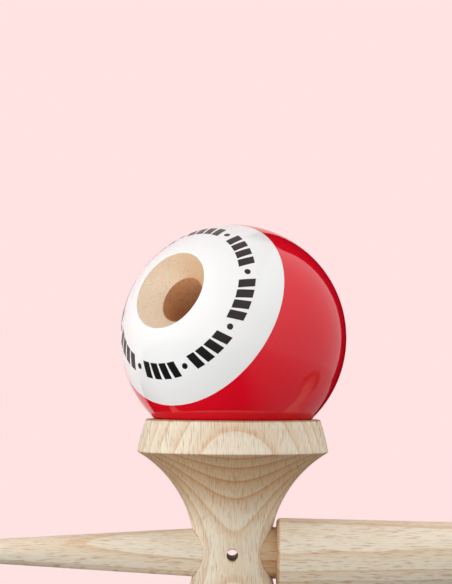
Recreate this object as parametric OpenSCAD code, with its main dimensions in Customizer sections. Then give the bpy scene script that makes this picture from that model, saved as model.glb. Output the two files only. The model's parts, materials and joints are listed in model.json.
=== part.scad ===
// Kendama standing on its small cup, with the ball resting in the big cup.
// Millimetres. The origin is the centre of the small cup's rim, on the floor.
// +Z runs up the crosspiece, and the ken lies along X with its spike towards -X.

/* [Ball] */
// Diameter of the lacquered ball
ball_d = 60; // [56:0.5:68]
// Thickness of the lacquer coats
coat_t = 0.3; // [0.2:0.05:0.6]
// Diameter of the spike hole's bevelled mouth
mouth_d = 22.2; // [18:0.2:26]
// Depth of the bevel below the edge of the mouth
bevel_depth = 5.5; // [3:0.1:8]
// Diameter of the spike hole
bore_d = 12.7; // [11:0.1:15]
// Depth of the spike hole below the edge of the mouth
bore_depth = 40; // [30:0.5:42]
// Angle from the hole's axis to the border of the white coat
border_angle = 61.8; // [45:0.1:80]
// Heading of the hole's axis, from +X towards +Y
hole_azimuth = 229; // [0:1:359]
// Rise of the hole's axis above the horizontal
hole_elevation = 25.2; // [0:0.1:80]

/* [String] */
// Diameter of the string holes in the ball, the crosspiece and the ken
string_hole_d = 3; // [2:0.1:4]
// Diameter of the bead that holds the string inside the ball
bead_d = 8.6; // [6:0.1:10]
// Diameter of the hole through the bead
bead_hole_d = 3.2; // [2:0.1:4]
// Running gap between the bead and its pocket
bead_gap = 0.2; // [0.1:0.05:0.4]

/* [Crosspiece] */
// Height from the ken's axis to the rim of the big cup
big_side = 35.25; // [33:0.25:38]
// Height from the small cup's rim to the ken's axis
small_side = 33.3; // [31:0.1:36]
// Diameter of the waist around the ken
waist_d = 19.9; // [18:0.1:24]
// Rise of the outer bands above their straight slope
band_bulge = 0.11; // [0:0.01:0.3]
// Radius that rounds the outer edge of each rim
rim_round = 0.7; // [0.3:0.1:1]

/* [Big cup] */
// Diameter of the ridge around the big cup
big_ridge_d = 50.7; // [47:0.1:54]
// Outer diameter of the big cup's rim
big_rim_d = 46.66; // [45:0.1:49]
// Height of the band from the ridge to the big cup's rim
big_band = 8.6; // [6:0.1:11]
// Diameter of the lip on which the ball rests
big_lip_d = 42; // [38:0.1:43]
// Depth of the big cup's bowl
big_bowl = 14; // [12:0.5:16]

/* [Small cup] */
// Diameter of the ridge around the small cup
small_ridge_d = 46.4; // [43:0.1:50]
// Outer diameter of the small cup's rim
small_rim_d = 42.8; // [41:0.1:45]
// Height of the band from the ridge to the small cup's rim
small_band = 8; // [6:0.1:10]
// Diameter of the lip of the small cup
small_lip_d = 38; // [34:0.1:39]
// Depth of the small cup's bowl
small_bowl = 11; // [8:0.5:14]

/* [Ken] */
// Length from the crosspiece's axis to the tip of the spike
spike_length = 65; // [50:1:80]
// Length from the crosspiece's axis to the rim of the base cup
handle_length = 100; // [85:1:120]
// Diameter of the spike just behind its round tip
tip_d = 6.6; // [4:0.1:9]
// Diameter of the taper where the spike leaves the crosspiece
taper_small_d = 12.6; // [10.5:0.1:13]
// Diameter of the taper where the handle enters the crosspiece
taper_large_d = 13.6; // [13.2:0.1:15]
// Diameter of the handle's shoulder beside the crosspiece
shoulder_d = 18.4; // [16.5:0.1:20]
// Diameter of the handle at its thinnest, before the base cup
handle_d = 16.4; // [14:0.1:18]
// Gap between the taper and its hole in the crosspiece
taper_gap = 0.05; // [0.02:0.01:0.1]
// Gap between the handle's shoulder and the crosspiece
shoulder_gap = 0.3; // [0.2:0.05:1]

/* [Base cup] */
// Diameter of the ridge around the base cup
base_ridge_d = 42; // [39:0.1:46]
// Outer diameter of the base cup's rim
base_rim_d = 38.6; // [36:0.1:42]
// Height of the band from the ridge to the base cup's rim
base_band = 7.6; // [6:0.1:10]
// Radius of the arc that flares from the handle to the ridge
base_flare_r = 30; // [24:0.5:40]
// Diameter of the lip of the base cup
base_lip_d = 34; // [30:0.1:35]
// Depth of the base cup's bowl
base_bowl = 11; // [8:0.5:14]

/* [Fits] */
// Gap between the ball and the lip that it rests on
seat_gap = 0.12; // [0.08:0.01:0.3]

/* [Hidden] */
$fn = 96;
band_steps = 6;
round_steps = 6;
// How far a cut runs past the face that it leaves
overrun = 3;

// Crosspiece
waist_r = waist_d / 2;
big_rim_z = small_side + big_side;

// Radius of the arc that flares from the waist to a ridge
function flare_r(ridge_d, rise) = rise ^ 2 / (ridge_d - waist_d) + (ridge_d - waist_d) / 4;
big_flare_r = flare_r(big_ridge_d, big_side - big_band);
small_flare_r = flare_r(small_ridge_d, small_side - small_band);
tight_flare_r = min(big_flare_r, small_flare_r);

// Largest radius of the crosspiece at a height above or below the ken's axis
function flare_at(rise) = waist_r + tight_flare_r - sqrt(tight_flare_r ^ 2 - rise ^ 2);

// Ken, drawn along its own axis from the spike towards the base cup
shoulder_x = flare_at(shoulder_d / 2) + shoulder_gap;
spike_x = flare_at(taper_small_d / 2);
taper_slope = (taper_large_d - taper_small_d) / (shoulder_x + spike_x) / 2;
handle_rise = (base_ridge_d - handle_d) / 2;
base_flare_run = sqrt(base_flare_r ^ 2 - (base_flare_r - handle_rise) ^ 2);
base_flare_x = handle_length - base_band - base_flare_run;
shoulder_round = (shoulder_d - taper_large_d) / 4;

// Radius of the taper at a distance along the ken
function taper_at(x) = taper_small_d / 2 + taper_slope * (x + spike_x);

// Ball
ball_r = ball_d / 2;
core_r = ball_r - coat_t;
ball_z = big_rim_z + sqrt((ball_r + seat_gap) ^ 2 - (big_lip_d / 2) ^ 2);
mouth_h = sqrt(ball_r ^ 2 - (mouth_d / 2) ^ 2);
bevel_slope = (mouth_d - bore_d) / 2 / bevel_depth;
bore_floor = mouth_h - bore_depth;
pocket_r = bead_d / 2 + bead_gap;
pocket_floor = bore_floor - bead_d - bead_gap;
bead_h = pocket_floor + bead_gap + bead_d / 2;

// Points along an arc, from one angle to another
function arc(centre, radius, from, to, steps) =
    [for (i = [0:steps]) let (a = from + (to - from) * i / steps)
        centre + radius * [cos(a), sin(a)]];

// Points up a cup's band from its ridge to its rim: radius, then depth below the rim
function band(ridge_r, rim_r, height) = concat(
    [for (i = [0:band_steps - 1]) let (t = i / band_steps)
        [ridge_r + (rim_r - ridge_r) * t + 4 * band_bulge * t * (1 - t),
         height - (height - rim_round) * t]],
    arc([rim_r - rim_round, rim_round], rim_round, 0, -90, round_steps));

// Radius of the sphere that gives a bowl its lip and its depth
function bowl_r(lip_d, depth) = ((lip_d / 2) ^ 2 + depth ^ 2) / (2 * depth);

// Bowl below a rim that lies at the origin and faces +Z
module bowl(lip_d, depth) {
    r = bowl_r(lip_d, depth);
    translate([0, 0, r - depth]) sphere(r = r);
}

// Section of the hollow beside the waist, from the ken's axis towards one cup
module flare_section(radius) {
    translate([waist_r, 0]) intersection() {
        translate([radius, 0]) circle(r = radius);
        square(radius);
    }
}

// Solid of the crosspiece about its axis, before its bowls and holes are cut
module spool() {
    small_edge = band(small_ridge_d / 2, small_rim_d / 2, small_band);
    big_edge = band(big_ridge_d / 2, big_rim_d / 2, big_band);
    rotate_extrude() difference() {
        polygon(concat(
            [[0, big_rim_z], [0, 0]],
            [for (i = [len(small_edge) - 1:-1:0]) small_edge[i]],
            [for (p = big_edge) [p.x, big_rim_z - p.y]]));
        translate([0, small_side]) {
            flare_section(big_flare_r);
            mirror([0, 1]) flare_section(small_flare_r);
        }
    }
}

// Tapered hole for the ken, wider than its taper by a gap
module taper_hole() {
    reach = shoulder_x + overrun;
    translate([-reach, 0, small_side]) rotate([0, 90, 0])
        cylinder(h = 2 * reach, r1 = taper_at(-reach) + taper_gap, r2 = taper_at(reach) + taper_gap);
}

// String hole across the crosspiece's waist and the ken
module cross_string_hole() {
    reach = waist_r + overrun;
    translate([0, reach, small_side]) rotate([90, 0, 0])
        cylinder(h = 2 * reach, d = string_hole_d);
}

module crosspiece() {
    color("burlywood") difference() {
        spool();
        translate([0, 0, big_rim_z]) bowl(big_lip_d, big_bowl);
        mirror([0, 0, 1]) bowl(small_lip_d, small_bowl);
        taper_hole();
        cross_string_hole();
    }
}

// Solid of the ken about its own axis, before its bowl is cut
module ken_blank() {
    tip_r = tip_d / 2;
    base_edge = band(base_ridge_d / 2, base_rim_d / 2, base_band);
    rotate_extrude() difference() {
        polygon(concat(
            arc([0, tip_r - spike_length], tip_r, -90, 0, round_steps),
            [[taper_small_d / 2, -spike_x], [taper_at(shoulder_x), shoulder_x]],
            arc([shoulder_d / 2 - shoulder_round, shoulder_x + shoulder_round], shoulder_round,
                -90, 0, round_steps),
            [[handle_d / 2, base_flare_x], [base_ridge_d / 2, base_flare_x]],
            [for (p = base_edge) [p.x, handle_length - p.y]],
            [[0, handle_length]]));
        translate([handle_d / 2 + base_flare_r, base_flare_x]) circle(r = base_flare_r);
    }
}

module ken() {
    color("burlywood") difference() {
        translate([0, 0, small_side]) rotate([0, 90, 0]) difference() {
            ken_blank();
            translate([0, 0, handle_length]) bowl(base_lip_d, base_bowl);
        }
        cross_string_hole();
    }
}

// Places a shape drawn about the hole's axis where the ball rests
module in_ball() {
    translate([0, 0, ball_z]) rotate([0, 90 - hole_elevation, hole_azimuth]) children();
}

// Bevelled spike hole with the bead's pocket and the string hole below it
module ball_hole() {
    rotate_extrude() polygon([
        [0, pocket_floor],
        [pocket_r, pocket_floor],
        [pocket_r, bore_floor],
        [bore_d / 2, bore_floor],
        [bore_d / 2, mouth_h - bevel_depth],
        [mouth_d / 2 + bevel_slope * overrun, mouth_h + overrun],
        [0, mouth_h + overrun]]);
    translate([0, 0, -ball_r - overrun]) cylinder(h = ball_r, d = string_hole_d);
}

// Coat of lacquer between two angles from the hole's axis
module coat(from, to) {
    reach = 2 * ball_r;
    middle = (from + to) / 2;
    difference() {
        rotate_extrude() intersection() {
            difference() {
                circle(r = ball_r);
                circle(r = core_r);
            }
            polygon(concat([[0, 0]], [for (a = [from, middle, to]) reach * [sin(a), cos(a)]]));
        }
        ball_hole();
    }
}

module ball() {
    color("wheat") in_ball() difference() {
        sphere(r = core_r);
        ball_hole();
    }
}

module ball_white_coat() {
    color("white") in_ball() coat(0, border_angle);
}

module ball_red_coat() {
    color("crimson") in_ball() coat(border_angle, 180);
}

module string_bead() {
    color("peru") in_ball() translate([0, 0, bead_h]) difference() {
        sphere(d = bead_d);
        translate([0, 0, -bead_d]) cylinder(h = 2 * bead_d, d = bead_hole_d);
    }
}

crosspiece();
ken();
ball();
ball_white_coat();
ball_red_coat();
string_bead();
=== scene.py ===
"""Kendama standing on its small cup, with the lacquered ball resting in its big cup.

Sizes are millimetres in the fields and metres in Blender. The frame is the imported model's: the
origin is the centre of the small cup's rim on the floor, +Z runs up the crosspiece and the ken
lies along X with its spike towards -X. The camera looks along +Y.
"""
import json
import logging
import math
from dataclasses import dataclass, field
from enum import Enum
from itertools import accumulate

import bmesh
import bpy
from mathutils import Euler, Matrix, Vector


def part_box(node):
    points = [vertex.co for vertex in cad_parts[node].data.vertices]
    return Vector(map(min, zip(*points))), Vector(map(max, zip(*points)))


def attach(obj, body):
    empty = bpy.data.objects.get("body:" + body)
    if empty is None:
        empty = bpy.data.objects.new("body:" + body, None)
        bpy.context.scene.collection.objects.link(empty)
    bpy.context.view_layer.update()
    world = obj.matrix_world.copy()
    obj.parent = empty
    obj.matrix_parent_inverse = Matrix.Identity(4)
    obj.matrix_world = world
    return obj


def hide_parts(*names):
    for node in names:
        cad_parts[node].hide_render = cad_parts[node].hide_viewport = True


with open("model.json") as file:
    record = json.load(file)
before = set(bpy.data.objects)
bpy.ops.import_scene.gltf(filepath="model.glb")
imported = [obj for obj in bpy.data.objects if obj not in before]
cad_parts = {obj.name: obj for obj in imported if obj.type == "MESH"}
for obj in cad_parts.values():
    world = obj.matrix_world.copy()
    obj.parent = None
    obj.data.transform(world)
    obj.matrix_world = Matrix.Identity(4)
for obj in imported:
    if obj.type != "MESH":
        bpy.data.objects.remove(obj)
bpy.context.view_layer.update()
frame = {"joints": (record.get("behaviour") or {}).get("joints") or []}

LOG = logging.getLogger("kendama")

MM = 0.001
# Steps of a full turn on the lathe
TURN_STEPS = 192
# Degrees between the points of an arc
ARC_STEP = 2.0
# Steps of a rounded corner
ROUND_STEPS = 4
# Points closer than this, in metres, are one point
WELD = 1e-7
# Name of the attribute that says how squarely the grain is cut, from 0 to 1
END_GRAIN = "end_grain"
# An edge that turns by more than this, in degrees, is shaded as a sharp edge
SHARP_ANGLE = 38.0
# Values between which most of a noise texture lies
NOISE_SPAN = (0.3, 0.7)
# Sockets of the Mix node when it mixes colours
MIX_A, MIX_B, MIX_RESULT = 6, 7, 2


def linear(hex_colour: str) -> tuple[float, float, float, float]:
    """Turns an sRGB hex colour into linear light.

    Args:
        hex_colour: A colour such as "#E6D0B4".

    Returns:
        Red, green and blue in linear light, and an alpha of 1.
    """
    channels = (int(hex_colour[i:i + 2], 16) / 255 for i in (1, 3, 5))
    return (*(c / 12.92 if c <= 0.04045 else ((c + 0.055) / 1.055) ** 2.4 for c in channels), 1.0)


def add_node(
    tree: bpy.types.NodeTree,
    kind: str,
    settings: dict[str, object] | None = None,
    values: dict[str | int, object] | None = None,
    links: dict[str | int, bpy.types.NodeSocket] | None = None,
) -> bpy.types.Node:
    """Adds a node to a tree.

    Args:
        tree: The material's or world's node tree.
        kind: The node's type.
        settings: The node's own properties.
        values: Values of its unlinked inputs, by socket.
        links: Outputs of other nodes that feed its inputs, by socket.

    Returns:
        The new node.
    """
    node = tree.nodes.new(kind)
    for name, value in (settings or {}).items():
        setattr(node, name, value)
    for socket, value in (values or {}).items():
        node.inputs[socket].default_value = value
    for socket, source in (links or {}).items():
        tree.links.new(source, node.inputs[socket])
    return node


def new_material(name: str) -> tuple[bpy.types.Material, bpy.types.NodeTree]:
    """Makes an empty node material.

    Args:
        name: The finish's name.

    Returns:
        The material and its cleared node tree.
    """
    material = bpy.data.materials.new(name)
    material.use_nodes = True
    material.node_tree.nodes.clear()
    return material, material.node_tree


class Axis(Enum):
    """An axis of the frame, by its place in a point."""

    X = 0
    Y = 1
    Z = 2


class Grain(Enum):
    """How a turning was cut from the plank, as a turn that lays its grain along pattern Z."""

    UP_THE_CROSSPIECE = (0.0, 0.0, 0.0)
    ALONG_THE_KEN = (0.0, -90.0, 25.0)
    ACROSS_THE_BALL = (35.0, -70.0, 0.0)

    @property
    def turn(self) -> Euler:
        """The turn in radians."""
        return Euler([math.radians(angle) for angle in self.value])

    @property
    def along(self) -> Vector:
        """Direction of the grain in the piece."""
        return self.turn.to_matrix()[2]


@dataclass(frozen=True)
class Beech:
    """Pale beech, turned, sanded and lightly sealed.

    The eye sees a cream wood with soft year rings, each browner on one side and fading to cream,
    and everywhere the short dark dashes of the rays, which turn to dots on end grain.

    Attributes:
        name: Name of the material.
        grain: How the piece was cut from the plank.
        cream: Colour of the early wood.
        late: Colour of the browner side of a year ring.
        ray: Colour of the ray dashes.
        pith: Place of the tree's heart, across and into the plank, in millimetres.
        bark: Distance of the outermost ring from the heart, in millimetres.
        ring_widths: Widths of the year rings from the outermost inwards, in millimetres.
        ring_fade: Share of the late colour through a ring, from its outer line inwards.
        ring_soak_and_shade: How much that share grows where the grain is cut squarely, deepening
            the rings there, partly as painted shade.
        wander: How far the rings wander from true circles, in millimetres.
        ray_size: Width, depth and length of a ray dash, in millimetres.
        ray_span: Noise at which a ray dash begins, and at which it has its full tone.
        ray_tone: Share of the ray colour in a dash.
        relief: Strength of the relief that the dashes leave, from 0 to 1.
        relief_depth: Depth of that relief, in millimetres.
        fibre_size: Width, depth and length of a fibre streak, in millimetres.
        fibre_tone: Share of the late colour that fibres add or take.
        cloud_size: Size of the broad changes of tone, in millimetres.
        sealer_and_shade: Tint of end grain, partly the sealing coat that end grain takes up and
            partly painted shade on faces that point along the grain.
        soak_and_shade: How squarely the grain is cut where that tint begins, and where it is full.
        roughness: Roughness of the smoothest and of the roughest fibres.
        ior: Index of refraction of the sealing coat.
    """

    name: str
    grain: Grain
    cream: str = "#F5EBD6"
    late: str = "#D9A76C"
    ray: str = "#B07238"
    pith: tuple[float, float] = (-6.0, 130.0)
    bark: float = 160.4
    ring_widths: tuple[float, ...] = (
        3.0, 3.4, 3.3, 3.5, 3.1, 3.3, 2.9, 3.4, 3.0, 3.2, 3.5, 3.1, 2.8, 3.3, 3.2, 3.4, 3.0, 3.3)
    ring_fade: tuple[tuple[float, float], ...] = (
        (0.0, 0.42), (0.05, 0.49), (0.15, 0.33), (0.7, 0.1), (0.92, 0.06), (1.0, 0.28))
    ring_soak_and_shade: float = 0.6
    wander: float = 0.5
    ray_size: tuple[float, float, float] = (0.22, 5.0, 3.2)
    ray_span: tuple[float, float] = (0.54, 0.70)
    ray_tone: float = 0.45
    relief: float = 0.2
    relief_depth: float = 0.05
    fibre_size: tuple[float, float, float] = (0.34, 0.8, 15.0)
    fibre_tone: float = 0.52
    cloud_size: float = 11.0
    # Tint of end grain: partly the sealing coat, partly painted shade on faces that point along the
    # grain
    sealer_and_shade: str = "#D8C4AE"
    soak_and_shade: tuple[float, float] = (0.16, 0.7)
    roughness: tuple[float, float] = (0.52, 0.66)
    ior: float = 1.45

    def material(self) -> bpy.types.Material:
        """Makes the wood from year rings, ray dashes, fibres and broad clouds of tone.

        Returns:
            The wood's material.
        """
        material, tree = new_material(self.name)
        place = add_node(tree, "ShaderNodeTexCoord").outputs["Object"]
        plank = add_node(
            tree, "ShaderNodeMapping",
            values={"Scale": (1 / MM,) * 3, "Rotation": self.grain.turn},
            links={"Vector": place}).outputs["Vector"]
        # Each layer of noise has its own size and detail
        layers = []
        for size, detail in (
                ((self.cloud_size,) * 3, 1.0), (self.fibre_size, 2.0), (self.ray_size, 1.0)):
            stretched = add_node(
                tree, "ShaderNodeVectorMath", {"operation": "DIVIDE"},
                values={1: size}, links={0: plank})
            grain = add_node(
                tree, "ShaderNodeTexNoise", values={"Scale": 1.0, "Detail": detail},
                links={"Vector": stretched.outputs["Vector"]})
            layers.append(grain.outputs["Fac"])
        clouds, fibres, dashes = layers

        season = self.season(tree, plank, clouds)
        late_wood = add_node(tree, "ShaderNodeFloatCurve", links={"Value": season})
        fade = late_wood.mapping.curves[0]
        fade.points[0].location = self.ring_fade[0]
        fade.points[1].location = self.ring_fade[-1]
        for place_in_ring, share in self.ring_fade[1:-1]:
            fade.points.new(place_in_ring, share)
        late_wood.mapping.update()
        streaks = add_node(
            tree, "ShaderNodeMath", {"operation": "MULTIPLY_ADD"},
            values={1: self.fibre_tone, 2: -self.fibre_tone / 2}, links={0: fibres})
        end_grain = add_node(tree, "ShaderNodeAttribute", {"attribute_name": END_GRAIN})
        # How squarely the grain is cut sets a darker tint and deeper rings: partly the sealing
        # coat, partly painted shade, as on the crosspiece's downward flare
        soaked_and_shaded = add_node(
            tree, "ShaderNodeMapRange", {"interpolation_type": "SMOOTHSTEP"},
            values={"From Min": self.soak_and_shade[0], "From Max": self.soak_and_shade[1]},
            links={"Value": end_grain.outputs["Fac"]})
        deepened_and_shaded = add_node(
            tree, "ShaderNodeMath", {"operation": "MULTIPLY_ADD"},
            values={1: self.ring_soak_and_shade, 2: 1.0}, links={0: soaked_and_shaded.outputs["Result"]})
        browner = add_node(
            tree, "ShaderNodeMath", {"operation": "MULTIPLY_ADD", "use_clamp": True},
            links={0: late_wood.outputs["Value"], 1: deepened_and_shaded.outputs["Value"],
                   2: streaks.outputs["Value"]})
        rays = add_node(
            tree, "ShaderNodeMapRange",
            values={"From Min": self.ray_span[0], "From Max": self.ray_span[1],
                    "To Max": self.ray_tone},
            links={"Value": dashes})

        ringed = add_node(
            tree, "ShaderNodeMix", {"data_type": "RGBA"},
            values={MIX_A: linear(self.cream), MIX_B: linear(self.late)},
            links={0: browner.outputs["Value"]})
        dashed = add_node(
            tree, "ShaderNodeMix", {"data_type": "RGBA"},
            values={MIX_B: linear(self.ray)},
            links={0: rays.outputs["Result"], MIX_A: ringed.outputs[MIX_RESULT]})
        # Multiplies in the end-grain tint, which is partly painted shade
        sealed_and_shaded = add_node(
            tree, "ShaderNodeMix", {"data_type": "RGBA", "blend_type": "MULTIPLY"},
            values={MIX_B: linear(self.sealer_and_shade)},
            links={0: soaked_and_shaded.outputs["Result"], MIX_A: dashed.outputs[MIX_RESULT]})
        relief = add_node(
            tree, "ShaderNodeBump", {"invert": True},
            values={"Strength": self.relief, "Distance": self.relief_depth * MM},
            links={"Height": rays.outputs["Result"]})
        sheen = add_node(
            tree, "ShaderNodeMapRange",
            values={"From Min": NOISE_SPAN[0], "From Max": NOISE_SPAN[1],
                    "To Min": self.roughness[0], "To Max": self.roughness[1]},
            links={"Value": fibres})
        surface = add_node(
            tree, "ShaderNodeBsdfPrincipled", values={"IOR": self.ior},
            links={"Base Color": sealed_and_shaded.outputs[MIX_RESULT],
                   "Roughness": sheen.outputs["Result"],
                   "Normal": relief.outputs["Normal"]})
        add_node(tree, "ShaderNodeOutputMaterial", links={"Surface": surface.outputs["BSDF"]})
        return material

    def season(
        self, tree: bpy.types.NodeTree, plank: bpy.types.NodeSocket, clouds: bpy.types.NodeSocket
    ) -> bpy.types.NodeSocket:
        """Finds how far a point lies through its year ring.

        Args:
            tree: The material's node tree.
            plank: Place in the plank, in millimetres.
            clouds: Noise that lets the rings wander a little.

        Returns:
            0 on a ring's outer line, rising to 1 at the next line inwards.
        """
        flat = add_node(
            tree, "ShaderNodeVectorMath", {"operation": "MULTIPLY"},
            values={1: (1.0, 1.0, 0.0)}, links={0: plank})
        radius = add_node(
            tree, "ShaderNodeVectorMath", {"operation": "DISTANCE"},
            values={1: (*self.pith, 0.0)}, links={0: flat.outputs["Vector"]})
        wander = add_node(
            tree, "ShaderNodeMath", {"operation": "MULTIPLY_ADD"},
            values={1: self.wander}, links={0: clouds, 2: radius.outputs["Value"]})
        outermost = self.bark + self.wander / 2
        depth = sum(self.ring_widths)
        inwards = add_node(
            tree, "ShaderNodeMapRange",
            values={"From Min": outermost, "From Max": outermost - depth},
            links={"Value": wander.outputs["Value"]})
        years = add_node(
            tree, "ShaderNodeFloatCurve", links={"Value": inwards.outputs["Result"]})
        curve = years.mapping.curves[0]
        count = len(self.ring_widths)
        for year, reach in enumerate(accumulate(self.ring_widths[:-1]), start=1):
            curve.points.new(reach / depth, year / count)
        for point in curve.points:
            point.handle_type = "VECTOR"
        years.mapping.update()
        year = add_node(
            tree, "ShaderNodeMath", {"operation": "MULTIPLY"},
            values={1: float(count)}, links={0: years.outputs["Value"]})
        return add_node(
            tree, "ShaderNodeMath", {"operation": "FRACT"},
            links={0: year.outputs["Value"]}).outputs["Value"]


@dataclass(frozen=True)
class Lacquer:
    """Sprayed gloss lacquer on a turned ball.

    The eye sees one even colour under a mirror-smooth surface, with the faint slow ripple that
    sprayed lacquer keeps and a slightly deeper tone where it lies thicker.

    Attributes:
        name: Name of the material.
        colour: Colour of the lacquer.
        thick: Colour where the lacquer lies thicker.
        ior: Index of refraction.
        pool_size: Size of the slow changes of thickness, in millimetres.
        roughness: Roughness where the lacquer is thinnest and where it is thickest.
        ripple_size: Size of the surface's ripple, in millimetres.
        ripple: Strength of the ripple's relief, from 0 to 1.
        ripple_depth: Depth of the ripple, in millimetres.
    """

    name: str
    colour: str
    thick: str
    ior: float = 1.55
    pool_size: float = 14.0
    roughness: tuple[float, float] = (0.045, 0.075)
    ripple_size: float = 1.6
    ripple: float = 0.05
    ripple_depth: float = 0.02

    def material(self) -> bpy.types.Material:
        """Makes the lacquer from its colour, its slow pools and its ripple.

        Returns:
            The lacquer's material.
        """
        material, tree = new_material(self.name)
        place = add_node(tree, "ShaderNodeTexCoord").outputs["Object"]
        pools = add_node(
            tree, "ShaderNodeTexNoise",
            values={"Scale": 1 / (self.pool_size * MM), "Detail": 1.0},
            links={"Vector": place})
        colour = add_node(
            tree, "ShaderNodeMix", {"data_type": "RGBA"},
            values={MIX_A: linear(self.colour), MIX_B: linear(self.thick)},
            links={0: pools.outputs["Fac"]})
        gloss = add_node(
            tree, "ShaderNodeMapRange",
            values={"From Min": NOISE_SPAN[0], "From Max": NOISE_SPAN[1],
                    "To Min": self.roughness[0], "To Max": self.roughness[1]},
            links={"Value": pools.outputs["Fac"]})
        ripple = add_node(
            tree, "ShaderNodeTexNoise",
            values={"Scale": 1 / (self.ripple_size * MM), "Detail": 0.0},
            links={"Vector": place})
        skin = add_node(
            tree, "ShaderNodeBump",
            values={"Strength": self.ripple, "Distance": self.ripple_depth * MM},
            links={"Height": ripple.outputs["Fac"]})
        surface = add_node(
            tree, "ShaderNodeBsdfPrincipled", values={"IOR": self.ior},
            links={"Base Color": colour.outputs[MIX_RESULT],
                   "Roughness": gloss.outputs["Result"],
                   "Normal": skin.outputs["Normal"]})
        add_node(tree, "ShaderNodeOutputMaterial", links={"Surface": surface.outputs["BSDF"]})
        return material


@dataclass(frozen=True)
class PrintInk:
    """Black pad-printing ink.

    The eye sees a dense satin black, a little greyer where the film is thin.

    Attributes:
        name: Name of the material.
        dense: Colour of the full film.
        thin: Colour of the thinner film.
        speck_size: Size of the thin specks, in millimetres.
        roughness: Roughness of the full film and of the thin specks.
        ior: Index of refraction.
    """

    name: str = "black_print_ink"
    dense: str = "#0E0E0F"
    thin: str = "#1C1B1C"
    speck_size: float = 0.5
    roughness: tuple[float, float] = (0.28, 0.42)
    ior: float = 1.5

    def material(self) -> bpy.types.Material:
        """Makes the ink from its film and its thin specks.

        Returns:
            The ink's material.
        """
        material, tree = new_material(self.name)
        place = add_node(tree, "ShaderNodeTexCoord").outputs["Object"]
        specks = add_node(
            tree, "ShaderNodeTexNoise",
            values={"Scale": 1 / (self.speck_size * MM), "Detail": 2.0},
            links={"Vector": place})
        film = add_node(
            tree, "ShaderNodeMix", {"data_type": "RGBA"},
            values={MIX_A: linear(self.dense), MIX_B: linear(self.thin)},
            links={0: specks.outputs["Fac"]})
        satin = add_node(
            tree, "ShaderNodeMapRange",
            values={"From Min": NOISE_SPAN[0], "From Max": NOISE_SPAN[1],
                    "To Min": self.roughness[0], "To Max": self.roughness[1]},
            links={"Value": specks.outputs["Fac"]})
        surface = add_node(
            tree, "ShaderNodeBsdfPrincipled", values={"IOR": self.ior},
            links={"Base Color": film.outputs[MIX_RESULT],
                   "Roughness": satin.outputs["Result"]})
        add_node(tree, "ShaderNodeOutputMaterial", links={"Surface": surface.outputs["BSDF"]})
        return material


class Lathe:
    """Half a section, with its radius along X and its height along Z, that is spun round Z.

    Attributes:
        mesh: The section, and later the turned skin.
        end: The last point drawn.
        corners: Points to round, and how far each round reaches along its sides.
    """

    def __init__(self, radius: float, height: float) -> None:
        """Starts the section at a point.

        Args:
            radius: Distance from the axis, in millimetres.
            height: Height along the axis, in millimetres.
        """
        self.mesh = bmesh.new()
        self.end = self.mesh.verts.new((radius * MM, 0.0, height * MM))
        self.corners: list[tuple[bmesh.types.BMVert, float]] = []

    def line(self, radius: float, height: float) -> "Lathe":
        """Draws a straight line to a point.

        Args:
            radius: The point's distance from the axis, in millimetres.
            height: The point's height, in millimetres.

        Returns:
            The lathe, so that strokes can follow each other.
        """
        self.end = bmesh.ops.extrude_vert_indiv(self.mesh, verts=[self.end])["verts"][0]
        self.end.co = (radius * MM, 0.0, height * MM)
        return self

    def arc(self, radius: float, height: float, sweep: float) -> "Lathe":
        """Swings the end of the section round a centre.

        Args:
            radius: The centre's distance from the axis, in millimetres.
            height: The centre's height, in millimetres.
            sweep: Angle in degrees, from the radius towards the height.

        Returns:
            The lathe, so that strokes can follow each other.
        """
        swung = bmesh.ops.spin(
            self.mesh, geom=[self.end], cent=(radius * MM, 0.0, height * MM), axis=(0, -1, 0),
            angle=math.radians(sweep), steps=math.ceil(abs(sweep) / ARC_STEP))
        self.end = swung["geom_last"][0]
        return self

    def bow(self, radius: float, height: float, rise: float) -> "Lathe":
        """Draws a shallow arc to a point, bulging to the right of its path.

        Args:
            radius: The point's distance from the axis, in millimetres.
            height: The point's height, in millimetres.
            rise: Rise of the arc above its chord, in millimetres.

        Returns:
            The lathe, so that strokes can follow each other.
        """
        start = Vector((self.end.co.x, self.end.co.z)) / MM
        chord = Vector((radius, height)) - start
        reach = chord.length_squared / (8 * rise) + rise / 2
        left = Vector((-chord.y, chord.x)).normalized()
        centre = start + chord / 2 + left * (reach - rise)
        return self.arc(*centre, math.degrees(2 * math.asin(chord.length / 2 / reach)))

    def corner(self, reach: float) -> "Lathe":
        """Marks the end of the section as a corner to round.

        Args:
            reach: How far the round reaches along both sides, in millimetres.

        Returns:
            The lathe, so that strokes can follow each other.
        """
        self.corners.append((self.end, reach))
        return self

    def turn(self) -> bmesh.types.BMesh:
        """Rounds the corners and spins the section into a closed skin.

        Returns:
            The skin, with its axis on Z.
        """
        for vertex, reach in self.corners:
            bmesh.ops.bevel(
                self.mesh, geom=[vertex], offset=reach * MM, offset_type="OFFSET",
                affect="VERTICES", segments=ROUND_STEPS, profile=0.5, material=-1)
        bmesh.ops.spin(
            self.mesh, geom=self.mesh.verts[:] + self.mesh.edges[:], cent=(0, 0, 0),
            axis=(0, 0, 1), angle=math.tau, steps=TURN_STEPS, use_merge=True)
        bmesh.ops.remove_doubles(self.mesh, verts=self.mesh.verts[:], dist=WELD)
        bmesh.ops.recalc_face_normals(self.mesh, faces=self.mesh.faces[:])
        return self.mesh


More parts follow.
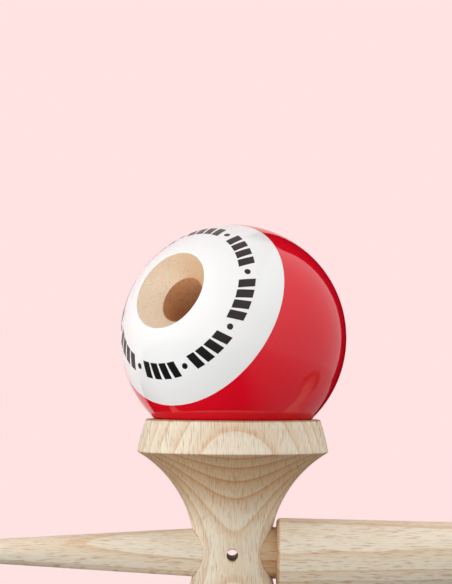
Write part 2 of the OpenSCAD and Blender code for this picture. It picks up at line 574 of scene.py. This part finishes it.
@dataclass
class CupEdge:
    """A cup's sloping band, flat rim and bowl, as on all three cups of a kendama.

    Attributes:
        ridge: Radius of the ridge below the band.
        rim: Radius of the outer edge of the rim.
        band: Height of the band from the ridge to the rim.
        lip: Radius of the lip, where the rim meets the bowl.
        bowl: Depth of the bowl.
        bulge: Rise of the band above a straight slope.
        rim_round: Radius that rounds the outer edge of the rim.
        ridge_round: Reach of the round on the ridge.
        lip_round: Reach of the round on the lip.
    """

    ridge: float
    rim: float
    band: float
    lip: float
    bowl: float
    bulge: float = 0.11
    rim_round: float = 0.7
    ridge_round: float = 0.35
    lip_round: float = 0.3

    @property
    def bowl_radius(self) -> float:
        """Radius of the sphere that gives the bowl its lip and its depth."""
        return (self.lip ** 2 + self.bowl ** 2) / (2 * self.bowl)

    @property
    def bowl_sweep(self) -> float:
        """Angle of the bowl's arc from its floor to its lip, in degrees."""
        return math.degrees(math.asin(self.lip / self.bowl_radius))

    def climb(self, lathe: Lathe, rim_height: float) -> None:
        """Draws from the ridge over the band and the rim down to the floor of the bowl.

        Args:
            lathe: A lathe whose section has reached the ridge.
            rim_height: Height of the rim.
        """
        lathe.corner(self.ridge_round)
        lathe.bow(self.rim, rim_height - self.rim_round, self.bulge)
        lathe.arc(self.rim - self.rim_round, rim_height - self.rim_round, 90.0)
        lathe.line(self.lip, rim_height).corner(self.lip_round)
        lathe.arc(0.0, rim_height + self.bowl_radius - self.bowl, -self.bowl_sweep)

    def descend(self, rim_height: float) -> Lathe:
        """Starts a section on the floor of a bowl that faces down, and draws to the ridge.

        Args:
            rim_height: Height of the rim.

        Returns:
            A lathe whose section ends at the ridge above the rim.
        """
        lathe = Lathe(0.0, rim_height + self.bowl)
        lathe.arc(0.0, rim_height + self.bowl - self.bowl_radius, -self.bowl_sweep)
        lathe.corner(self.lip_round).line(self.rim - self.rim_round, rim_height)
        lathe.arc(self.rim - self.rim_round, rim_height + self.rim_round, 90.0)
        lathe.bow(self.ridge, rim_height + self.band, self.bulge)
        return lathe.corner(self.ridge_round)


def shade(piece: bpy.types.Object) -> None:
    """Shades a piece smooth, apart from its sharp edges.

    Args:
        piece: The piece to shade.
    """
    piece.data.shade_smooth()
    piece.data.set_sharp_from_angle(angle=math.radians(SHARP_ANGLE))


def make_piece(
    name: str, mesh: bmesh.types.BMesh, finish: bpy.types.Material, place: Matrix
) -> bpy.types.Object:
    """Makes an object at the origin, with its place in its mesh.

    Args:
        name: Name of the piece.
        mesh: Its shape, which is used up.
        finish: Its material.
        place: Where the shape goes.

    Returns:
        The piece, in the scene.
    """
    bmesh.ops.transform(mesh, matrix=place, verts=mesh.verts[:])
    data = bpy.data.meshes.new(name)
    mesh.to_mesh(data)
    mesh.free()
    data.materials.append(finish)
    piece = bpy.data.objects.new(name, data)
    bpy.context.scene.collection.objects.link(piece)
    shade(piece)
    return piece


def drill(
    piece: bpy.types.Object, radii: tuple[float, float], start: Vector, stop: Vector
) -> None:
    """Drills a round hole through a piece.

    Args:
        piece: The piece to drill.
        radii: Radius of the hole at its start and at its stop, in millimetres.
        start: One end of the drill, in millimetres.
        stop: Its other end, in millimetres.
    """
    run = stop - start
    bit = bmesh.new()
    bmesh.ops.create_cone(
        bit, cap_ends=True, segments=TURN_STEPS // 2, radius1=radii[0] * MM,
        radius2=radii[1] * MM, depth=run.length * MM)
    middle = Matrix.Translation((start + stop) / 2 * MM)
    aim = run.to_track_quat("Z", "Y").to_matrix().to_4x4()
    tool = make_piece("drill", bit, piece.data.materials[0], middle @ aim)
    hole = piece.modifiers.new("hole", "BOOLEAN")
    hole.operation = "DIFFERENCE"
    hole.solver = "EXACT"
    hole.object = tool
    blank = piece.data
    graph = bpy.context.evaluated_depsgraph_get()
    piece.data = bpy.data.meshes.new_from_object(piece.evaluated_get(graph))
    piece.modifiers.clear()
    bpy.data.meshes.remove(blank)
    bpy.data.objects.remove(tool)
    shade(piece)


def mark_end_grain(piece: bpy.types.Object, grain: Grain) -> None:
    """Marks how squarely the grain is cut at each point, for the wood's end-grain tint, which is
    partly the sealing coat and partly painted shade.

    Args:
        piece: A finished wooden piece.
        grain: How it was cut from the plank.
    """
    cut = piece.data.attributes.new(END_GRAIN, "FLOAT", "POINT")
    along = grain.along
    cut.data.foreach_set("value", [abs(n.vector.dot(along)) for n in piece.data.vertex_normals])


def install(piece: bpy.types.Object, body: str, slot: str, *nodes: str) -> None:
    """Hangs a piece on its body, and reports it.

    Args:
        piece: The finished piece.
        body: The body that it moves with.
        slot: The record's material slot that it is finished in; not used.
        nodes: The solids that it stands for.
    """
    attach(piece, body)
    if nodes:
        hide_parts(*nodes)
    LOG.info("%s: %d faces on %s", piece.name, len(piece.data.polygons), body)


@dataclass
class Crosspiece:
    """The spool with the big cup above, the small cup below and the ken's hole through its waist.

    Attributes:
        height: Height of the big cup's rim above the small cup's.
        ken_height: Height of the ken's axis.
        big_cup: Edge of the cup that holds the ball.
        small_cup: Edge of the cup that it stands on.
        waist: Radius of the waist.
        hole_radii: Radius of the ken's hole at the ends of its drill.
        hole_reach: Distance of the ends of that drill from the axis.
        string_hole: Radius of the string hole.
        string_reach: Distance of the ends of the string hole's drill from the axis.
    """

    height: float
    ken_height: float
    big_cup: CupEdge = field(default_factory=lambda: CupEdge(25.35, 23.33, 8.6, 21.0, 14.0))
    small_cup: CupEdge = field(default_factory=lambda: CupEdge(23.2, 21.4, 8.0, 19.0, 11.0))
    waist: float = 9.95
    hole_radii: tuple[float, float] = (6.259, 6.918)
    hole_reach: float = 14.66
    string_hole: float = 1.5
    string_reach: float = 13.0

    def build(self, finish: Beech) -> None:
        """Turns the spool, drills it and hangs it on its body.

        Args:
            finish: Its wood.
        """
        lathe = self.small_cup.descend(0.0)
        low = self.flare(self.small_cup.ridge, self.ken_height - self.small_cup.band)
        lathe.arc(self.waist + low[0], self.ken_height, -low[1])
        high = self.flare(self.big_cup.ridge, self.height - self.big_cup.band - self.ken_height)
        lathe.arc(self.waist + high[0], self.ken_height, -high[1])
        self.big_cup.climb(lathe, self.height)
        spool = make_piece(
            "crosspiece_spool", lathe.turn(), finish.material(), Matrix.Identity(4))

        middle = Vector((0.0, 0.0, self.ken_height))
        along = Vector((self.hole_reach, 0.0, 0.0))
        drill(spool, self.hole_radii, middle - along, middle + along)
        across = Vector((0.0, self.string_reach, 0.0))
        drill(spool, (self.string_hole,) * 2, middle - across, middle + across)
        mark_end_grain(spool, finish.grain)
        install(spool, "crosspiece", "beech", "crosspiece")

    def flare(self, ridge: float, rise: float) -> tuple[float, float]:
        """Finds the arc that flares from the waist to a ridge.

        Args:
            ridge: Radius of the ridge.
            rise: Height of the ridge above or below the waist.

        Returns:
            Radius of the arc, and its angle in degrees.
        """
        run = ridge - self.waist
        radius = rise ** 2 / (2 * run) + run / 2
        return radius, math.degrees(math.asin(rise / radius))


@dataclass
class Ken:
    """The handle: a round-tipped spike, a taper through the crosspiece and a flared base cup.

    Attributes:
        height: Height of the ken's axis.
        spike_end: Place of the spike's tip along X.
        base_end: Place of the base cup's rim along X.
        base_cup: Edge of the cup at the end of the handle.
        tip: Radius of the spike's round tip.
        spike_root: Place and radius where the spike leaves the crosspiece.
        taper_root: Place and radius where the taper meets the shoulder.
        shoulder: Radius of the handle's shoulder.
        shoulder_round: Radius that rounds the shoulder.
        grip: Radius of the handle at its thinnest.
        flare: Radius of the arc from the handle to the base cup.
        string_hole: Radius of the string hole.
    """

    height: float
    spike_end: float
    base_end: float
    base_cup: CupEdge = field(default_factory=lambda: CupEdge(21.0, 19.3, 7.6, 17.0, 11.0))
    tip: float = 3.3
    spike_root: tuple[float, float] = (-10.603, 6.3)
    taper_root: tuple[float, float] = (11.66, 6.8)
    shoulder: float = 9.2
    shoulder_round: float = 1.2
    grip: float = 8.2
    flare: float = 30.0
    string_hole: float = 1.5

    def build(self, finish: Beech) -> None:
        """Turns the ken, drills it and hangs it on its body.

        Args:
            finish: Its wood.
        """
        ridge_x = self.base_end - self.base_cup.band
        sweep = math.acos(1 - (self.base_cup.ridge - self.grip) / self.flare)
        flare_x = ridge_x - self.flare * math.sin(sweep)
        shoulder_x = self.taper_root[0] + self.shoulder_round

        lathe = Lathe(0.0, self.spike_end).arc(0.0, self.spike_end + self.tip, 90.0)
        lathe.line(self.spike_root[1], self.spike_root[0])
        lathe.line(self.taper_root[1], self.taper_root[0])
        lathe.line(self.shoulder - self.shoulder_round, self.taper_root[0])
        lathe.arc(self.shoulder - self.shoulder_round, shoulder_x, 90.0)
        lathe.line(self.grip, flare_x)
        lathe.arc(self.grip + self.flare, flare_x, -math.degrees(sweep))
        self.base_cup.climb(lathe, self.base_end)

        lift = Matrix.Translation((0.0, 0.0, self.height * MM))
        lie = Matrix.Rotation(math.tau / 4, 4, "Y")
        ken = make_piece("ken_handle", lathe.turn(), finish.material(), lift @ lie)
        middle = Vector((0.0, 0.0, self.height))
        across = Vector((0.0, self.shoulder, 0.0))
        drill(ken, (self.string_hole,) * 2, middle - across, middle + across)
        mark_end_grain(ken, finish.grain)
        install(ken, "ken", "beech", "ken")


@dataclass
class Ball:
    """The ball: a bored wooden core, a white coat round the spike hole and a red coat.

    Attributes:
        seat: Matrix that lays the hole's axis, drawn on Z, where the ball rests.
        radius: Radius of the ball.
        white_radius: Radius of the white coat, which leaves room for the ink of its print.
        coat: Thickness of the lacquer.
        mouth: Radius of the bevelled mouth at the surface.
        bevel: Depth of the bevel below the edge of the mouth.
        bore: Radius of the spike hole.
        depth: Depth of the spike hole below the edge of the mouth.
        pocket: Radius of the bead's pocket.
        pocket_floor: Height of the pocket's floor, from the ball's centre.
        string_hole: Radius of the string hole.
        border: Angle from the hole's axis to the border of the white coat, in degrees.
        edge_round: Reach of the round on the lacquer's edge at the mouth.
    """

    seat: Matrix
    radius: float = 29.99
    white_radius: float = 29.96
    coat: float = 0.3
    mouth: float = 11.1
    bevel: float = 5.5
    bore: float = 6.35
    depth: float = 40.0
    pocket: float = 4.5
    pocket_floor: float = -20.929
    string_hole: float = 1.5
    border: float = 61.8
    edge_round: float = 0.22

    @property
    def mouth_height(self) -> float:
        """Height of the edge of the mouth above the ball's centre."""
        return math.sqrt(self.radius ** 2 - self.mouth ** 2)

    def bevel_angle(self, radius: float) -> float:
        """Finds where the bevel meets a sphere about the ball's centre.

        Args:
            radius: Radius of the sphere.

        Returns:
            Angle from the hole's axis, in degrees.
        """
        slope = math.atan2(self.mouth - self.bore, self.bevel)
        edge = math.asin(self.mouth / self.radius)
        reach = self.radius * math.sin(edge - slope)
        return math.degrees(slope + math.asin(reach / radius))

    @staticmethod
    def on_sphere(radius: float, angle: float) -> tuple[float, float]:
        """Gives the radius and height of a point on a sphere, at an angle from the axis."""
        return radius * math.sin(math.radians(angle)), radius * math.cos(math.radians(angle))

    def shell(self, radius: float, start: float, stop: float, reach: float) -> bmesh.types.BMesh:
        """Turns a coat of lacquer.

        Args:
            radius: Its outer radius.
            start: Angle of its first edge on the outside, from the hole's axis, in degrees.
            stop: Angle of its last edge on the outside, in degrees.
            reach: Reach of the round on the first edge.

        Returns:
            The coat, with the hole's axis on Z.
        """
        core = self.radius - self.coat
        inner_start = self.bevel_angle(core) if start < self.border else start
        lathe = Lathe(*self.on_sphere(core, inner_start))
        lathe.line(*self.on_sphere(radius, start))
        if reach:
            lathe.corner(reach)
        lathe.arc(0.0, 0.0, start - stop)
        lathe.line(*self.on_sphere(core, stop))
        lathe.arc(0.0, 0.0, stop - inner_start)
        return lathe.turn()

    def core(self) -> bmesh.types.BMesh:
        """Turns the wooden core with its bevel, bore, bead pocket and string hole.

        Returns:
            The core, with the hole's axis on Z.
        """
        core = self.radius - self.coat
        bore_floor = self.mouth_height - self.depth
        start = self.bevel_angle(core)
        stop = 180.0 - math.degrees(math.asin(self.string_hole / core))
        lathe = Lathe(*self.on_sphere(core, start))
        lathe.arc(0.0, 0.0, start - stop)
        lathe.line(self.string_hole, self.pocket_floor)
        lathe.line(self.pocket, self.pocket_floor)
        lathe.line(self.pocket, bore_floor)
        lathe.line(self.bore, bore_floor)
        lathe.line(self.bore, self.mouth_height - self.bevel).corner(self.edge_round)
        lathe.line(*self.on_sphere(core, start))
        mesh = lathe.turn()
        # Faces inside the hole take the second, darker wood: partly drill browning, partly painted
        # shade of the hole
        for face in mesh.faces:
            middle = face.calc_center_median()
            below = middle.z < (self.mouth_height - self.bevel) * MM
            if below and middle.xy.length < (self.bore + self.edge_round) * MM:
                face.material_index = 1
        return mesh

    def build(self, wood: Beech, bored: Beech, white: Lacquer, red: Lacquer) -> None:
        """Makes the core and both coats and hangs them on the ball's body.

        Args:
            wood: Wood of the core.
            bored: The same wood inside the hole, darker and browner, partly drill browning and
                partly painted shade of the hole.
            white: Lacquer round the spike hole.
            red: Lacquer of the rest.
        """
        core = make_piece("ball_core", self.core(), wood.material(), self.seat)
        core.data.materials.append(bored.material())
        mark_end_grain(core, wood.grain)
        install(core, "ball", "beech", "ball")
        start = self.bevel_angle(self.white_radius)
        white_coat = make_piece(
            "ball_white_lacquer",
            self.shell(self.white_radius, start, self.border, self.edge_round),
            white.material(), self.seat)
        install(white_coat, "ball", "white_lacquer", "ball_white_coat")
        stop = 180.0 - math.degrees(math.asin(self.string_hole / self.radius))
        red_coat = make_piece(
            "ball_red_lacquer", self.shell(self.radius, self.border, stop, 0.0),
            red.material(), self.seat)
        install(red_coat, "ball", "red_lacquer", "ball_red_coat")


@dataclass
class PrintedRing:
    """Ring of slanted bars and dots printed on the white coat.

    Attributes:
        seat: Matrix that lays the hole's axis, drawn on Z, where the ball rests.
        radius: Radius of the lacquer that carries the print.
        angle: Angle from the hole's axis to the middle of the ring, in degrees.
        groups: Number of groups round the ring.
        bars: Number of bars in a group.
        bar: Width and height of a bar.
        bar_steps: Steps along a bar's height and along its width.
        pitch: Distance from one bar to the next, in degrees round the axis.
        slant: How far a bar leans over its height.
        dot: Radius of the dot between two groups.
        dot_steps: Steps round a dot.
        film: Thickness of the ink.
        sunk: Depth of the ink's underside below the lacquer's surface.
    """

    seat: Matrix
    radius: float = 29.96
    angle: float = 43.0
    groups: int = 8
    bars: int = 4
    bar: tuple[float, float] = (2.3, 4.3)
    bar_steps: tuple[int, int] = (8, 6)
    pitch: float = 8.6
    slant: float = 0.25
    dot: float = 0.8
    dot_steps: int = 32
    film: float = 0.035
    sunk: float = 0.01

    def stamp(
        self, print_mesh: bmesh.types.BMesh, points: list[bmesh.types.BMVert], round_axis: float
    ) -> None:
        """Wraps a flat mark on to the ball.

        Args:
            print_mesh: The mesh that holds the mark.
            points: The mark's points, drawn round the origin.
            round_axis: Its place round the hole's axis, in degrees.
        """
        lift = Matrix.Translation((0.0, 0.0, self.radius * MM))
        tip = Matrix.Rotation(math.radians(self.angle), 4, "Y")
        swing = Matrix.Rotation(math.radians(round_axis), 4, "Z")
        bmesh.ops.transform(print_mesh, matrix=swing @ tip @ lift, verts=points)
        for point in points:
            point.co = point.co.normalized() * (self.radius - self.sunk) * MM

    def build(self, ink: PrintInk) -> None:
        """Prints the ring and hangs it on the ball's body.

        Args:
            ink: The ring's ink.
        """
        print_mesh = bmesh.new()
        lean = Matrix(((1, 0, 0, 0), (self.slant, 1, 0, 0), (0, 0, 1, 0), (0, 0, 0, 1)))
        size = Matrix.Diagonal((self.bar[1] / 2, self.bar[0] / 2, 1.0, 1.0))
        step = 360.0 / self.groups
        for group in range(self.groups):
            for bar in range(self.bars):
                grid = bmesh.ops.create_grid(
                    print_mesh, x_segments=self.bar_steps[0], y_segments=self.bar_steps[1],
                    size=MM, matrix=lean @ size)
                offset = (bar - (self.bars - 1) / 2) * self.pitch
                self.stamp(print_mesh, grid["verts"], group * step + offset)
            disc = bmesh.ops.create_circle(
                print_mesh, cap_ends=True, segments=self.dot_steps, radius=self.dot * MM)
            self.stamp(print_mesh, disc["verts"], (group + 0.5) * step)
        bmesh.ops.solidify(print_mesh, geom=print_mesh.faces[:], thickness=-self.film * MM)
        bmesh.ops.recalc_face_normals(print_mesh, faces=print_mesh.faces[:])
        ring = make_piece("ball_printed_ring", print_mesh, ink.material(), self.seat)
        install(ring, "ball", "white_lacquer")


@dataclass
class StringBead:
    """The bored wooden bead that holds the string inside the ball.

    Attributes:
        seat: Matrix that lays the hole's axis, drawn on Z, where the ball rests.
        height: Height of the bead's centre, from the ball's centre.
        radius: Radius of the bead.
        hole: Radius of its hole.
        hole_round: Reach of the round on the hole's edges.
    """

    seat: Matrix
    height: float = -16.429
    radius: float = 4.3
    hole: float = 1.6
    hole_round: float = 0.3

    def build(self, finish: Beech) -> None:
        """Turns the bead and hangs it on its body.

        Args:
            finish: Its wood.
        """
        half = math.sqrt(self.radius ** 2 - self.hole ** 2)
        sweep = math.degrees(math.acos(self.hole / self.radius))
        lathe = Lathe(self.hole, self.height).line(self.hole, self.height - half)
        lathe.corner(self.hole_round).arc(0.0, self.height, 2 * sweep)
        lathe.corner(self.hole_round).line(self.hole, self.height)
        bead = make_piece("string_bead_turned", lathe.turn(), finish.material(), self.seat)
        mark_end_grain(bead, finish.grain)
        install(bead, "bead", "bead_wood", "string_bead")


@dataclass(frozen=True)
class Card:
    """A flat card of the studio that lights the object or keeps light from it.

    Attributes:
        name: Name of the card.
        low: Lowest corner, in metres.
        high: Highest corner, in metres; the card is flat along one axis.
        glow: Strength of its light at its lowest and highest points; black where both are 0.
        along: Axis along which the strength changes.
        in_gloss: Whether glossy surfaces mirror the card.
    """

    name: str
    low: tuple[float, float, float]
    high: tuple[float, float, float]
    glow: tuple[float, float] = (0.0, 0.0)
    along: Axis = Axis.Z
    in_gloss: bool = True

    def build(self) -> None:
        """Makes the card, which the camera doesn't see."""
        low, high = Vector(self.low), Vector(self.high)
        mesh = bmesh.new()
        bmesh.ops.create_cube(mesh, size=1.0)
        span = Matrix.Diagonal((*(high - low), 1.0))
        card = make_piece(
            self.name, mesh, self.material(), Matrix.Translation((low + high) / 2) @ span)
        card.visible_camera = False
        card.visible_glossy = self.in_gloss

    def material(self) -> bpy.types.Material:
        """Makes the card's surface, a glow that changes along one axis or plain black.

        Returns:
            The card's material.
        """
        material, tree = new_material(self.name)
        place = add_node(tree, "ShaderNodeTexCoord").outputs["Object"]
        axes = add_node(tree, "ShaderNodeSeparateXYZ", links={"Vector": place})
        axis = self.along.value
        strength = add_node(
            tree, "ShaderNodeMapRange",
            values={"From Min": self.low[axis], "From Max": self.high[axis],
                    "To Min": self.glow[0], "To Max": self.glow[1]},
            links={"Value": axes.outputs[axis]})
        light = add_node(
            tree, "ShaderNodeEmission", links={"Strength": strength.outputs["Result"]})
        add_node(tree, "ShaderNodeOutputMaterial", links={"Surface": light.outputs["Emission"]})
        return material


@dataclass
class Studio:
    """Plain pale floor, soft light and the backdrop's colour.

    Attributes:
        backdrop: Colour of the backdrop.
        floor_colour: Colour of the floor near the object.
        floor_glow: Light of its own that lifts the lit floor to the backdrop.
        floor_radius: Radius of the floor, in metres.
        floor_steps: Steps round the floor's edge.
        floor_drop: Depth of the floor below the object, in millimetres.
        fade: Distances over which the floor fades into the backdrop, in metres.
        ambient: Strength of the even light from all round; 0 leaves the light to the cards.
        cards: The cards that light the object or keep light from it.
    """

    backdrop: str = "#FFE3E2"
    floor_colour: str = "#F6DAD9"
    floor_glow: float = 0.2
    floor_radius: float = 4.0
    floor_steps: int = 128
    floor_drop: float = 0.1
    fade: tuple[float, float] = (0.13, 0.26)
    ambient: float = 0.0
    cards: tuple[Card, ...] = (
        Card("right_bank", (0.55, -1.05, -0.9), (0.551, 0.65, 1.3), (0.27, 1.38)),
        Card("bounce_edge", (0.015, -1.5, -0.003), (0.06, 0.25, -0.0025), (0.0, 0.27), Axis.X),
        Card("right_bounce", (0.06, -1.5, -0.003), (0.3, 0.25, -0.0025), (0.27, 0.6), Axis.X),
        Card("front_wall", (-1.4, -1.401, 0.0), (0.75, -1.4, 1.05), (2.8, 0.05), in_gloss=False),
        Card("left_wall", (-1.201, -1.4, 0.0), (-1.2, 0.5, 1.6), (2.0, 0.05), in_gloss=False),
        Card("ceiling", (-1.2, -0.8, 1.7), (0.6, 0.6, 1.701), (1.4, 1.9), Axis.X, in_gloss=False),
        Card("back_wall", (-1.2, 1.4, 0.0), (1.2, 1.401, 1.4), (0.8, 0.8), in_gloss=False),
        Card("foot_bounce", (-0.05, -0.05, -0.0015), (0.05, 0.05, -0.0013), (0.7, 0.45), Axis.X,
             in_gloss=False),
        Card("left_bounce", (-1.0, -0.9, -0.002), (-0.1, -0.06, -0.0018), (3.2, 2.8), Axis.X,
             in_gloss=False),
        Card("under_flag", (-1.5, -1.5, -0.004), (0.015, 0.15, -0.0035)),
        Card("low_flag", (0.04, -1.5, -0.9005), (1.5, 1.5, -0.9)),
        Card("right_flag", (0.17, 0.9, -0.9), (1.3, 0.901, 1.4)),
    )

    def build(self) -> None:
        """Lays the floor, hangs the cards and lights the world."""
        for card in self.cards:
            card.build()
        mesh = bmesh.new()
        bmesh.ops.create_circle(
            mesh, cap_ends=True, segments=self.floor_steps, radius=self.floor_radius)
        below = Matrix.Translation((0.0, 0.0, -self.floor_drop * MM))
        floor = make_piece("studio_floor", mesh, self.floor_material(), below)
        floor.visible_diffuse = False
        floor.visible_glossy = False
        floor.visible_shadow = False
        self.light_world()

    def floor_material(self) -> bpy.types.Material:
        """Makes the matt floor, which keeps shadows and fades into the backdrop.

        Returns:
            The floor's material, which is clear from below.
        """
        material, tree = new_material("studio_floor")
        place = add_node(tree, "ShaderNodeTexCoord").outputs["Object"]
        away = add_node(
            tree, "ShaderNodeVectorMath", {"operation": "LENGTH"}, links={0: place})
        mix = add_node(
            tree, "ShaderNodeMapRange", {"interpolation_type": "SMOOTHSTEP"},
            values={"From Min": self.fade[0], "From Max": self.fade[1]},
            links={"Value": away.outputs["Value"]})
        matt = add_node(
            tree, "ShaderNodeBsdfDiffuse", values={"Color": linear(self.floor_colour)})
        glow = add_node(
            tree, "ShaderNodeEmission",
            values={"Color": linear(self.backdrop), "Strength": self.floor_glow})
        near = add_node(
            tree, "ShaderNodeAddShader",
            links={0: matt.outputs["BSDF"], 1: glow.outputs["Emission"]})
        far = add_node(tree, "ShaderNodeEmission", values={"Color": linear(self.backdrop)})
        top = add_node(
            tree, "ShaderNodeMixShader",
            links={0: mix.outputs["Result"], 1: near.outputs["Shader"],
                   2: far.outputs["Emission"]})
        side = add_node(tree, "ShaderNodeNewGeometry")
        clear = add_node(tree, "ShaderNodeBsdfTransparent")
        surface = add_node(
            tree, "ShaderNodeMixShader",
            links={0: side.outputs["Backfacing"], 1: top.outputs["Shader"],
                   2: clear.outputs["BSDF"]})
        add_node(tree, "ShaderNodeOutputMaterial", links={"Surface": surface.outputs["Shader"]})
        return material

    def light_world(self) -> None:
        """Shows the backdrop to the camera, in gloss and in glass; the rest gets the even light."""
        world = bpy.data.worlds.new("studio")
        world.use_nodes = True
        tree = world.node_tree
        tree.nodes.clear()
        path = add_node(tree, "ShaderNodeLightPath")
        mirrored = add_node(
            tree, "ShaderNodeMath", {"operation": "MAXIMUM"},
            links={0: path.outputs["Is Glossy Ray"], 1: path.outputs["Is Transmission Ray"]})
        shown = add_node(
            tree, "ShaderNodeMath", {"operation": "MAXIMUM"},
            links={0: path.outputs["Is Camera Ray"], 1: mirrored.outputs["Value"]})
        even = add_node(tree, "ShaderNodeBackground", values={"Strength": self.ambient})
        pale = add_node(tree, "ShaderNodeBackground", values={"Color": linear(self.backdrop)})
        mix = add_node(
            tree, "ShaderNodeMixShader",
            links={0: shown.outputs["Value"], 1: even.outputs["Background"],
                   2: pale.outputs["Background"]})
        add_node(tree, "ShaderNodeOutputWorld", links={"Surface": mix.outputs["Shader"]})
        bpy.context.scene.world = world


@dataclass
class PhotoCamera:
    """Level camera with a long lens, in front of the ball.

    Attributes:
        ball: Centre of the ball, in metres.
        distance: Distance from the camera to the ball's centre, along Y.
        left: How far left of the ball the camera stands.
        below: How far below the ball's centre the camera stands.
        tilt: Upward tilt, in degrees.
        roll: Roll about the line of sight, in degrees.
        long_side: Long side of the picture, in pixels.
        focal: Focal length, in pixels.
        sensor: Long side of the sensor.
        clip: Nearest and farthest distance that it sees, in metres.
    """

    ball: Vector
    distance: float = 600.0
    left: float = 1.9
    below: float = 10.83
    tilt: float = 2.19
    roll: float = -0.33
    long_side: int = 584
    focal: float = 2260.0
    sensor: float = 36.0
    clip: tuple[float, float] = (0.01, 100.0)

    def build(self) -> None:
        """Makes the scene's camera."""
        data = bpy.data.cameras.new("photo_camera")
        data.sensor_width = self.sensor
        data.lens = self.focal * self.sensor / self.long_side
        data.clip_start, data.clip_end = self.clip
        camera = bpy.data.objects.new("photo_camera", data)
        offset = Vector((-self.left, -self.distance, -self.below)) * MM
        camera.location = self.ball + offset
        camera.rotation_euler = (
            math.radians(90.0 + self.tilt), math.radians(self.roll), 0.0)
        bpy.context.scene.collection.objects.link(camera)
        bpy.context.scene.camera = camera


def ball_seat() -> Matrix:
    """Reads where the ball rests from its spinning joint.

    Returns:
        Matrix that takes a shape drawn round Z about the origin to the hole's axis in the ball.
    """
    spin = next(joint for joint in frame["joints"] if joint["name"] == "ball_spin")
    turn = Vector(spin["axis"]).to_track_quat("Z", "Y").to_matrix().to_4x4()
    return Matrix.Translation(spin["pos_m"]) @ turn


def main() -> None:
    """Builds the kendama, its studio and its camera."""
    logging.basicConfig(level=logging.INFO, format="%(name)s %(message)s")
    bpy.context.scene.view_settings.view_transform = "Standard"

    seat = ball_seat()
    PhotoCamera(seat.translation.copy()).build()
    Studio().build()

    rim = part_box("crosspiece")[1].z / MM
    ken_low, ken_high = (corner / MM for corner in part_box("ken"))
    ken_height = (ken_low.z + ken_high.z) / 2
    Crosspiece(rim, ken_height).build(Beech("beech_crosspiece", Grain.UP_THE_CROSSPIECE))
    Ken(ken_height, ken_low.x, ken_high.x).build(Beech("beech_ken", Grain.ALONG_THE_KEN))
    Ball(seat).build(
        # The core's end-grain tint is set to darken the top of the mouth's bevel as painted shade
        Beech("beech_ball_core", Grain.ACROSS_THE_BALL, cream="#F2E4CF", late="#E0C29D",
              ray="#C08A55", ray_size=(0.22, 2.0, 0.7), ray_tone=0.26, sealer_and_shade="#E9D8CA",
              soak_and_shade=(0.25, 1.0)),
        # Darker, browner wood inside the hole: partly drill browning, partly painted shade of the
        # hole
        Beech("beech_bore_with_painted_shade", Grain.ACROSS_THE_BALL, cream="#DBA97D", late="#C38A5F",
              ray="#8A5A36", ray_size=(0.25, 2.0, 0.8), ray_tone=0.3, soak_and_shade=(0.7, 1.0)),
        Lacquer("white_lacquer", "#F6F6F5", "#F2F2F1"),
        Lacquer("red_lacquer", "#E81124", "#E20E26"))
    PrintedRing(seat).build(PrintInk())
    StringBead(seat).build(
        Beech("beech_bead", Grain.ACROSS_THE_BALL, cream="#B98A5A", late="#94653C", ray="#6E4526"))


if __name__ == "__main__":
    main()
